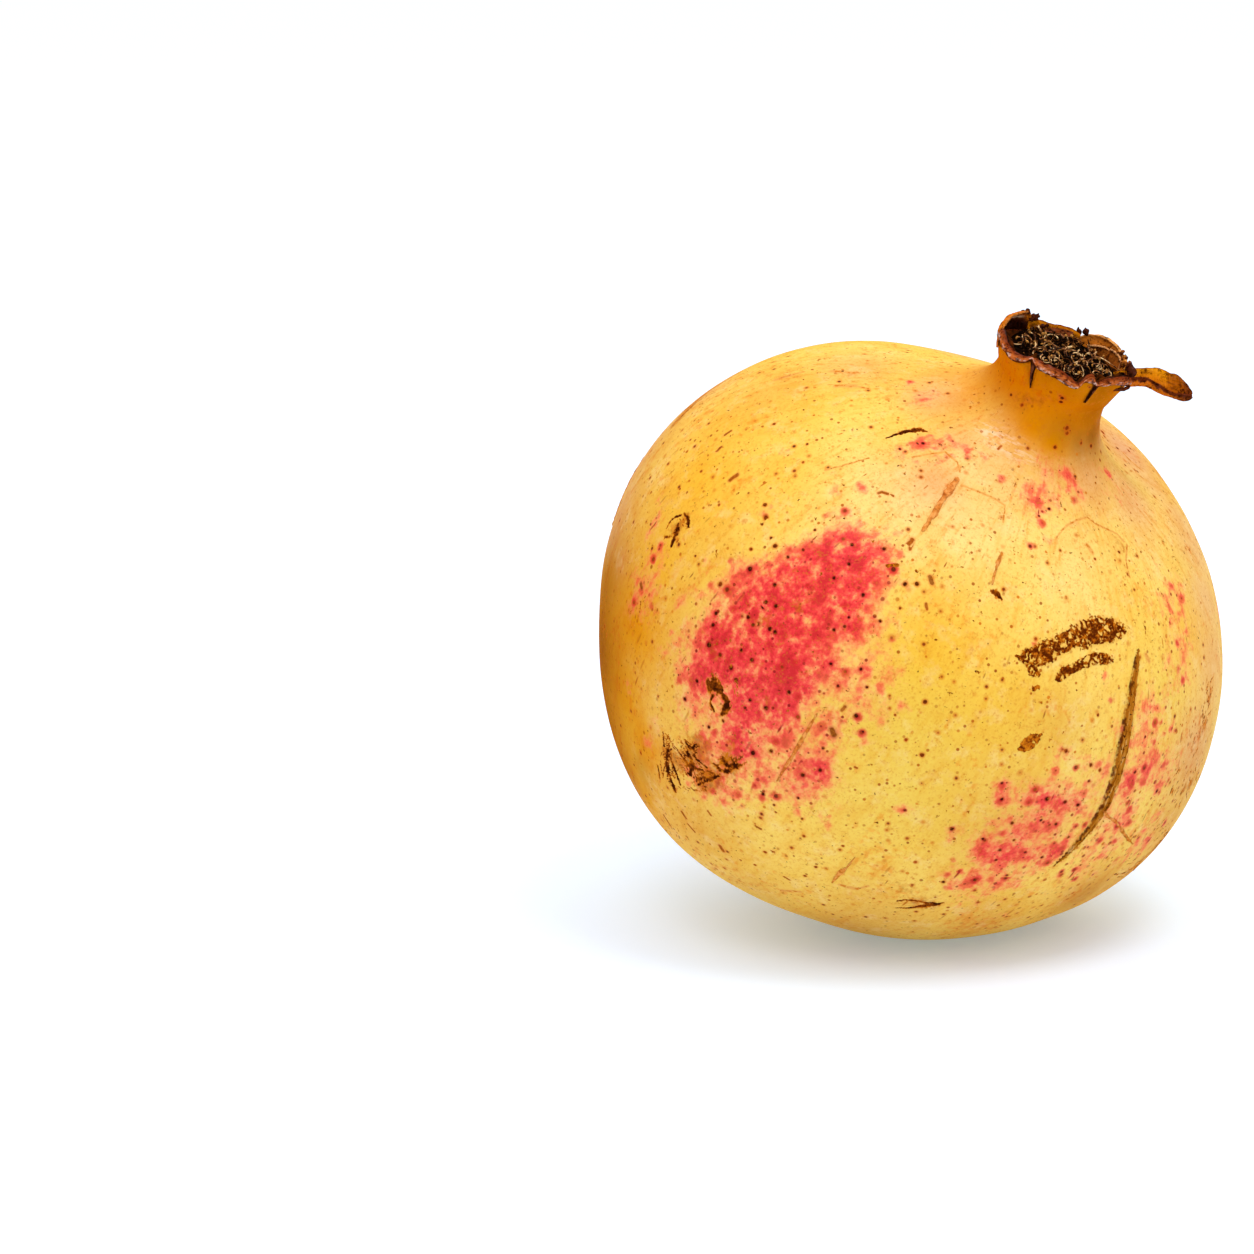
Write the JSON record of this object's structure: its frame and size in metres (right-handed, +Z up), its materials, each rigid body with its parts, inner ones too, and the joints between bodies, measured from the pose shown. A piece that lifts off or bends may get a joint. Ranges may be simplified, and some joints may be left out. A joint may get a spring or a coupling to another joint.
{
  "type": "pomegranate",
  "caption": "Whole ripe pomegranate with a short calyx neck, a dried crown of broken lobes round its stamens and a clipped stalk, resting on a small flat spot.",
  "frame": {"origin": "middle of the flat spot that the fruit rests on", "axes": "+Z up, +X to the right as pictured, -Y towards the camera; the crown leans to +X and -Y"},
  "size_m": [0.0957, 0.0968, 0.0973],
  "materials": {
    "rind": "smooth waxy yellow rind with a red blush, brown scars and fine pores",
    "dried_lobes": "dry red-brown leathery tissue, orange inside, dark at the torn edges",
    "dried_stamens": "near-black dry mat with golden threads",
    "stalk": "dry grey-brown bark with a pale cut end"
  },
  "bodies": {
    "root": {"fruit": "rind", "crown_lobes": "dried_lobes", "stamens": "dried_stamens", "stalk_stub": "stalk"}
  },
  "joints": []
}
